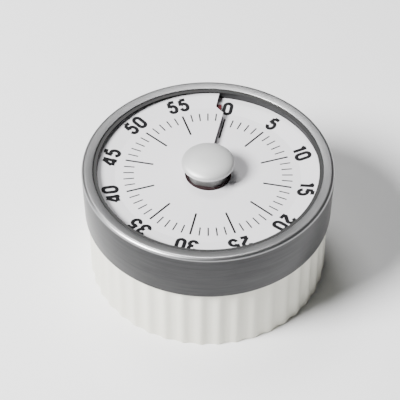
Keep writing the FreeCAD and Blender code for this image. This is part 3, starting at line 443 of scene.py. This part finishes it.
def finish_mesh(name, mesh, merge=1e-7):
    """Merges doubles, turns the faces outwards and shades them smooth up to an angle."""
    work = bmesh.new()
    work.from_mesh(mesh)
    bmesh.ops.remove_doubles(work, verts=work.verts, dist=merge)
    bmesh.ops.recalc_face_normals(work, faces=work.faces)
    work.to_mesh(mesh)
    work.free()
    mesh.shade_smooth()
    mesh.set_sharp_from_angle(angle=math.radians(SMOOTH_ANGLE))
    piece = bpy.data.objects.new(name, mesh)
    bpy.context.collection.objects.link(piece)
    return piece


def geometry_tree(name, **sizes):
    """A Geometry Nodes tree with a geometry input and output and one named input for each size."""
    group = bpy.data.node_groups.new(name, "GeometryNodeTree")
    group.interface.new_socket("Geometry", in_out="INPUT", socket_type="NodeSocketGeometry")
    group.interface.new_socket("Geometry", in_out="OUTPUT", socket_type="NodeSocketGeometry")
    for size in sizes:
        group.interface.new_socket(size, in_out="INPUT", socket_type="NodeSocketFloat")
    tree = Tree(group)
    tree.node("NodeGroupInput")
    levels = {size: tree.out(size) for size in sizes}
    levels["Geometry"] = tree.out("Geometry")
    return group, tree, levels


def run_geometry(piece, group, sizes):
    """Gives a piece's modifier its sizes, and replaces the piece by the plain mesh that comes out."""
    modifier = piece.modifiers.new(group.name, "NODES")
    modifier.node_group = group
    for item in group.interface.items_tree:
        if item.item_type == "SOCKET" and item.in_out == "INPUT" and item.name in sizes:
            modifier[item.identifier] = float(sizes[item.name])
    bpy.context.view_layer.update()
    evaluated = piece.evaluated_get(bpy.context.evaluated_depsgraph_get())
    mesh = bpy.data.meshes.new_from_object(evaluated)
    piece.modifiers.clear()
    name = piece.name
    bpy.data.objects.remove(piece)
    return finish_mesh(name, mesh)


def flute_tree():
    """Moves the points marked as fluted inwards, so that hollow flutes meet in narrow soft ridges."""
    sizes = {"Flutes": FLUTES, "Depth": FLUTE_DEPTH, "Ridge": RIDGE_NARROWNESS}
    group, tree, level = geometry_tree("hollow_flutes", **sizes)
    place = tree.node("GeometryNodeInputPosition")
    x = tree.node("ShaderNodeSeparateXYZ", None, place)
    y, z = tree.out(1), tree.out(2)
    radius = (x * x + y * y) ** 0.5
    turns = y.math("ARCTAN2", x) / (2 * math.pi)
    across = ((turns * level["Flutes"] + 0.5).math("FLOORED_MODULO", 1.0) * 2 - 1).math("ABSOLUTE")
    fluted = tree.node("GeometryNodeInputNamedAttribute", {"data_type": "FLOAT"}, "fluted")
    crest = 0.5 - (across * math.pi).math("COSINE") * 0.5
    depth = level["Depth"] * (1 - crest ** level["Ridge"]) * fluted
    shrink = 1 - depth / radius
    moved = tree.node("ShaderNodeCombineXYZ", None, x * shrink, y * shrink, z)
    shaped = tree.node("GeometryNodeSetPosition", None, Geometry=level["Geometry"], Position=moved)
    painted = tree.node("GeometryNodeSetMaterial", {}, Geometry=shaped, Material=CREAM)
    tree.node("NodeGroupOutput", None, painted)
    return group, sizes


def minute_mark_tree():
    """Sixty bars round the dial, every fifth long, lifted onto the spiral."""
    sizes = {
        "Marks": TICKS,
        "Outer radius": TICK_OUTER,
        "Long inner radius": LONG_TICK_INNER,
        "Short inner radius": SHORT_TICK_INNER,
        "Long width": LONG_TICK_WIDTH,
        "Short width": SHORT_TICK_WIDTH,
        "Ink": MARK_INK,
        "Zero height": DIAL_ZERO_HEIGHT,
        "Rise": DIAL_RISE,
    }
    group, tree, level = geometry_tree("minute_marks", **sizes)
    number = tree.node("GeometryNodeInputIndex")
    plain = number.math("FLOORED_MODULO", float(NUMERAL_STEP)).math("GREATER_THAN", 0.5)
    inner = level["Long inner radius"] + plain * (level["Short inner radius"] - level["Long inner radius"])
    width = level["Long width"] + plain * (level["Short width"] - level["Long width"])
    length = level["Outer radius"] - inner
    middle = (level["Outer radius"] + inner) / 2
    angle = number / level["Marks"] * (2 * math.pi)
    spot_x, spot_y = angle.math("SINE") * middle, angle.math("COSINE") * middle
    spot = tree.node("ShaderNodeCombineXYZ", None, spot_x, spot_y)
    points = tree.node("GeometryNodePoints", None, Count=TICKS, Position=spot)
    turn = tree.node("ShaderNodeCombineXYZ", None, 0.0, 0.0, angle * -1.0)
    stretch = tree.node("ShaderNodeCombineXYZ", None, width, length, level["Ink"])
    cuts = {"Vertices_X": 2, "Vertices_Y": 4, "Vertices_Z": 2}
    block = tree.node("GeometryNodeMeshCube", None, Size=(1, 1, 1), **cuts)
    laid = tree.node(
        "GeometryNodeInstanceOnPoints", None, Points=points, Instance=block, Rotation=turn, Scale=stretch
    )
    bars = tree.node("GeometryNodeRealizeInstances", None, laid)
    place = tree.node("GeometryNodeInputPosition")
    x = tree.node("ShaderNodeSeparateXYZ", None, place)
    y, z = tree.out(1), tree.out(2)
    # a mark that straddles zero lies wholly on the low end
    turned = (x.math("ARCTAN2", y) / (2 * math.pi) + 0.006).math("FLOORED_MODULO", 1.0) - 0.006
    height = level["Zero height"] + turned * level["Rise"] + z + level["Ink"] * 0.4
    lifted = tree.node("ShaderNodeCombineXYZ", None, x, y, height)
    shaped = tree.node("GeometryNodeSetPosition", None, Geometry=bars, Position=lifted)
    painted = tree.node("GeometryNodeSetMaterial", {}, Geometry=shaped, Material=MINUTE_INK)
    tree.node("NodeGroupOutput", None, painted)
    return group, sizes


def arc(centre_x, centre_y, radius_x, radius_y, start, end, steps=14):
    """Points on part of an ellipse, angles in degrees."""
    points = []
    for k in range(steps + 1):
        angle = math.radians(start + (end - start) * k / steps)
        points.append((centre_x + radius_x * math.cos(angle), centre_y + radius_y * math.sin(angle)))
    return points


# The middle line of each digit's strokes, in a box one wide about the middle and one high.
DIGITS = {
    "0": [arc(0, 0.74, 0.5, 0.26, 180, 0) + arc(0, 0.26, 0.5, 0.26, 0, -180) + [(-0.5, 0.74)]],
    "1": [[(0.16, 0), (0.16, 1)], [(0.16, 0.93), (-0.3, 0.74)]],
    "2": [
        arc(0, 0.73, 0.48, 0.27, 180, -20) + [(-0.42, 0.06)],
        [(-0.5, 0), (0.5, 0)],
    ],
    "3": [
        arc(0, 0.755, 0.46, 0.245, 175, -75),
        arc(0, 0.265, 0.5, 0.265, 75, -175),
        [(-0.12, 0.515), (0.12, 0.515)],
    ],
    "4": [[(0.34, 0), (0.34, 1)], [(0.14, 1), (-0.62, 0.3)], [(-0.62, 0.22), (0.68, 0.22)]],
    "5": [
        [(0.44, 1), (-0.36, 1)],
        [(-0.36, 1.0), (-0.44, 0.5)],
        arc(0, 0.315, 0.5, 0.315, 140, -170),
    ],
}
DIGIT_WIDTHS = {"1": 0.72, "4": 1.12}


def dial_height(dial, x, y):
    """Height of the dial's face below the window at this place."""
    spot, _, _, _ = dial.ray_cast(Vector((x, y, WINDOW_LOW[2])), Vector((0, 0, -1)))
    return spot.z


def stroke_strip(points, width):
    """Pairs of points to either side of a middle line."""
    pairs = []
    for k, (x, y) in enumerate(points):
        x_before, y_before = points[max(k - 1, 0)]
        x_after, y_after = points[min(k + 1, len(points) - 1)]
        if points[0] == points[-1] and k in (0, len(points) - 1):
            x_before, y_before = points[-2]
            x_after, y_after = points[1]
        along = Vector((x_after - x_before, y_after - y_before)).normalized()
        aside = Vector((-along.y, along.x)) * width / 2
        pairs.append((Vector((x, y)) + aside, Vector((x, y)) - aside))
    return pairs


def numeral_piece():
    """Numerals 0 to 55 on the dial, tops outwards, each point lifted onto the spiral."""
    spots, faces = [], []
    dial = BVHTree.FromObject(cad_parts["dial"], bpy.context.evaluated_depsgraph_get())
    line_width = NUMERAL_WIDTH - NUMERAL_STROKE
    line_height = NUMERAL_HEIGHT - NUMERAL_STROKE
    for minute in range(0, TICKS, NUMERAL_STEP):
        label = str(minute)
        widths = [NUMERAL_WIDTH * DIGIT_WIDTHS.get(digit, 1.0) for digit in label]
        start = -(sum(widths) + NUMERAL_GAP * (len(label) - 1)) / 2
        for digit, width in zip(label, widths):
            centre = start + width / 2
            start += width + NUMERAL_GAP
            for stroke in DIGITS[digit]:
                middle = [(centre + x * line_width, (y - 0.5) * line_height) for x, y in stroke]
                strip = stroke_strip(closer(middle), NUMERAL_STROKE)
                add_strip(spots, faces, strip, minute, dial)
    mesh = bpy.data.meshes.new("numerals")
    mesh.from_pydata(spots, [], faces)
    piece = finish_mesh("numerals", mesh, merge=1e-9)
    piece.data.materials.append(NUMERAL_INK)
    return piece


def closer(points, spacing=0.4 * MM):
    """The same line with a point at least every so often, so that it can follow the dial."""
    line = [points[0]]
    for (x, y), (x_end, y_end) in zip(points, points[1:]):
        parts = max(1, round(math.hypot(x_end - x, y_end - y) / spacing))
        for part in range(1, parts + 1):
            line.append((x + (x_end - x) * part / parts, y + (y_end - y) * part / parts))
    return line


def add_strip(spots, faces, pairs, minute, dial):
    """A thin closed slab along one stroke of a numeral."""
    first = len(spots)
    turn = math.radians(minute * 360 / TICKS)
    for pair in pairs:
        for side in pair:
            x = side.x * math.cos(turn) + (NUMERAL_MIDDLE + side.y) * math.sin(turn)
            y = -side.x * math.sin(turn) + (NUMERAL_MIDDLE + side.y) * math.cos(turn)
            low = dial_height(dial, x, y)
            spots.append((x, y, low))
            spots.append((x, y, low + INK))
    for k in range(len(pairs) - 1):
        a, b = first + 4 * k, first + 4 * (k + 1)
        faces.append((a + 1, a + 3, b + 3, b + 1))
        faces.append((a, b, b + 2, a + 2))
        faces.append((a, a + 1, b + 1, b))
        faces.append((a + 2, b + 2, b + 3, a + 3))
    end = first + 4 * (len(pairs) - 1)
    faces.append((first, first + 2, first + 3, first + 1))
    faces.append((end, end + 1, end + 3, end + 2))


# ---------------------------------------------------------------- pieces


def make_cup():
    """The fluted cup, with a small break at the foot and its open rim inside the ring."""
    foot = 0.25 * MM
    corners = [
        (COVER_BORE, CUP_LOW[2], 0.1 * MM),
        (CUP_RADIUS, CUP_LOW[2], foot),
        (CUP_RADIUS, CUP_SKIRT_HEIGHT, 0),
        (CUP_COLLAR_RADIUS, CUP_SKIRT_HEIGHT, 0),
        (CUP_COLLAR_RADIUS, CUP_HIGH[2], 0),
        (SEAT_BORE, CUP_HIGH[2], 0),
        (SEAT_BORE, SEAT_HEIGHT, 0),
        (CUP_BORE, SEAT_HEIGHT, 0),
        (CUP_BORE, COVER_SEAT_HEIGHT, 0),
        (COVER_BORE, COVER_SEAT_HEIGHT, 0),
    ]
    profile = rounded_profile(corners, steps=4)
    inside = (COVER_BORE + CUP_RADIUS) / 2
    collar = (CUP_RADIUS + CUP_COLLAR_RADIUS) / 2
    top = CUP_SKIRT_HEIGHT + AXIS_GAP
    marks = [float(inside < radius < collar and height < top) for radius, height in profile]
    blank = lathe("fluted_cup", profile, segments=FLUTES * 16, marks=marks)
    cup = run_geometry(blank, *flute_tree())
    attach(cup, "case")
    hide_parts("base_cup")


def make_ring():
    """Drawn steel: straight skirt, rolled shoulder, and a band sloping in to a turned lip."""
    corners = [
        (RING_FOOT_RADIUS - RING_SHEET, RING_LOW[2], 0.12 * MM),
        (RING_FOOT_RADIUS, RING_LOW[2], 0.15 * MM),
        (RING_RADIUS, RING_SHOULDER, 1.05 * MM),
        (RING_LIP_RADIUS, RING_LIP_HEIGHT, 0.18 * MM),
        (RING_LIP_RADIUS, RING_LIP_HEIGHT - RING_SHEET, 0.12 * MM),
        (RING_RADIUS - RING_SHEET, RING_SHOULDER - RING_SHEET, 0.6 * MM),
    ]
    ring = lathe("brushed_steel_ring", rounded_profile(corners, steps=8), segments=360)
    ring.data.materials.append(RING_STEEL)
    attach(ring, "case")
    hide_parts("steel_ring")


def make_knob():
    """A cap like a flat pillow: a short straight side, and a domed crown with a soft edge."""
    radius, low, high = CAP_HIGH[0], CAP_LOW[2], CAP_HIGH[2]
    side_top = high - CAP_CROWN
    corners = [
        (AXIS_GAP, low + CAP_SPIGOT_DEPTH, 0),
        (CAP_SPIGOT_RADIUS, low + CAP_SPIGOT_DEPTH, 0),
        (CAP_SPIGOT_RADIUS, low, 0),
        (radius, low, 0.2 * MM),
    ]
    profile = rounded_profile([*corners, (radius, side_top, 0), (AXIS_GAP, side_top, 0)])[:-1]
    for step in range(1, CAP_STEPS):
        angle = math.pi / 2 * (1 - step / CAP_STEPS)
        out, up = math.sin(angle) ** CAP_FULLNESS, math.cos(angle) ** CAP_FULLNESS
        profile.append(Vector((radius * out, side_top + CAP_CROWN * up)))
    profile.append(Vector((AXIS_GAP, high)))
    cap = lathe("pillow_cap", profile, segments=192)
    cap.data.materials.append(CAP_METAL)
    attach(cap, "knob")
    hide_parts("knob_cap")


def make_window_border():
    """A black ring painted round the edge of the window, just inside the steel lip: painted shade in place
    of the dark band that the window's curved edge shows of the black wall and the shade under the lip.
    """
    low = WINDOW_HIGH[2]
    high = low + INK
    section = [(WINDOW_SHADE_INNER, low), (WINDOW_SHADE_OUTER, low), (WINDOW_SHADE_OUTER, high), (WINDOW_SHADE_INNER, high)]
    shade_ring = lathe("window_painted_shade_ring", section)
    shade_ring.data.materials.append(WINDOW_SHADE_INK)
    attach(shade_ring, "case")


def make_print():
    """The minute marks and the numerals on the dial."""
    blank = bpy.data.objects.new("minute_marks", bpy.data.meshes.new("minute_marks"))
    bpy.context.collection.objects.link(blank)
    marks = run_geometry(blank, *minute_mark_tree())
    for piece in (marks, numeral_piece()):
        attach(piece, "case")


def dress_node(node, material):
    """Gives a carried-over node one material."""
    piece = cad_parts[node]
    if not piece.data.materials:
        piece.data.materials.append(material)
    for slot in range(len(piece.data.materials)):
        piece.data.materials[slot] = material


make_cup()
make_ring()
make_knob()
make_window_border()
make_print()

NODE_FINISHES = {
    "bottom_cover": CREAM_BACK,
    "cover_screws": SCREW_STEEL,
    "magnets": FERRITE,
    "lens": WINDOW,
    "dial": WHITE_SHEET,
    "dial_ring": BLACK,
    "dial_carrier": BLACK,
    "movement_screws": SCREW_STEEL,
    "upper_plate": ZINC,
    "lower_plate": ZINC,
    "pillars": TURNED_BRASS,
    "plate_screws": SCREW_STEEL,
    "mainspring": BLUED,
    "spring_post": GROUND_STEEL,
    "gong": NICKEL,
    "gong_post": TURNED_BRASS,
    "gong_screw": SCREW_STEEL,
    "hammer_spring": BLUED,
    "knob_stem": STEM_METAL_PAINTED_SHADE,
    "main_shaft": GROUND_STEEL,
    "trip_cam": BRASS,
    "clutch_spring": BLUED,
    "clutch_collar": GROUND_STEEL,
    "red_disc": RED,
    "red_disc_hub": RED_HUB,
    "drive_wheel": BRASS,
    "second_arbor": GROUND_STEEL,
    "second_wheel": BRASS,
    "third_arbor": GROUND_STEEL,
    "third_wheel": BRASS,
    "escape_arbor": GROUND_STEEL,
    "escape_wheel": BRASS,
    "pallet_arbor": GROUND_STEEL,
    "pallet_lever": BRASS,
    "pallet_pins": GROUND_STEEL,
    "pallet_weights": TURNED_BRASS,
    "hammer_arbor": GROUND_STEEL,
    "trip_lever": ZINC,
    "hammer_arm": ZINC,
    "hammer_head": TURNED_BRASS,
}
for node, material in NODE_FINISHES.items():
    dress_node(node, material)


# ---------------------------------------------------------------- floor, light and camera


def make_floor():
    """A wide pale floor."""
    material, tree, shader = start_material("pale_floor")
    place, _, _, _ = place_of(tree)
    cloud = noise(tree, place, 6.0, detail=2.0)
    tone = colour_mix(tree, cloud, (0.92, 0.92, 0.922), (0.935, 0.935, 0.937))
    connect(tree, shader, Base_Color=tone, Roughness=0.7 + cloud * 0.1)
    bpy.ops.mesh.primitive_plane_add(size=8.0)
    floor = bpy.context.object
    floor.name = "pale_floor"
    floor.data.materials.append(material)


def soft_light(name, turn, tilt, size, power):
    """A round soft light, at this angle round from +X and up from the floor, in degrees."""
    turn, tilt = math.radians(turn), math.radians(tilt)
    towards = (math.cos(turn) * math.cos(tilt), math.sin(turn) * math.cos(tilt), math.sin(tilt))
    spot = [LIGHT_DISTANCE * part for part in towards]
    light = bpy.data.lights.new(name, "AREA")
    light.shape = "DISK"
    light.size = size
    light.energy = power
    lamp = bpy.data.objects.new(name, light)
    lamp.location = spot
    lamp.rotation_euler = (Vector(LIGHT_AIM) - Vector(spot)).to_track_quat("-Z", "Y").to_euler()
    bpy.context.collection.objects.link(lamp)


def make_surroundings(strength):
    """Dim even light from all round."""
    world = bpy.data.worlds.new("studio")
    world.use_nodes = True
    background = world.node_tree.nodes["Background"]
    background.inputs["Color"].default_value = (0.95, 0.97, 1.0, 1)
    background.inputs["Strength"].default_value = strength
    bpy.context.scene.world = world


def make_camera(azimuth=12.07, elevation=45.91, distance=0.5209, focal=155.6):
    """Looks down at the dial from in front, a little off its middle."""
    turn, tilt = math.radians(azimuth), math.radians(elevation)
    back = Vector((math.sin(turn) * math.cos(tilt), -math.cos(turn) * math.cos(tilt), math.sin(tilt)))
    right = Vector((math.cos(turn), math.sin(turn), 0))
    above = back.cross(right)
    dial_centre = Vector((0, 0, DIAL_ZERO_HEIGHT))
    spot = dial_centre + back * distance - right * CAMERA_LEFT - above * CAMERA_DOWN
    camera = bpy.data.cameras.new("camera")
    camera.sensor_width = 36.0
    camera.lens = focal
    camera.clip_start = 0.01
    holder = bpy.data.objects.new("camera", camera)
    axes = Matrix((right, above, back)).transposed().to_4x4()
    holder.matrix_world = Matrix.Translation(spot) @ axes
    bpy.context.collection.objects.link(holder)
    bpy.context.scene.camera = holder


make_floor()
soft_light("key", turn=-142, tilt=45, size=0.4, power=33.0)
soft_light("back", turn=125, tilt=66, size=0.4, power=5.0)
make_surroundings(0.06)
make_camera()
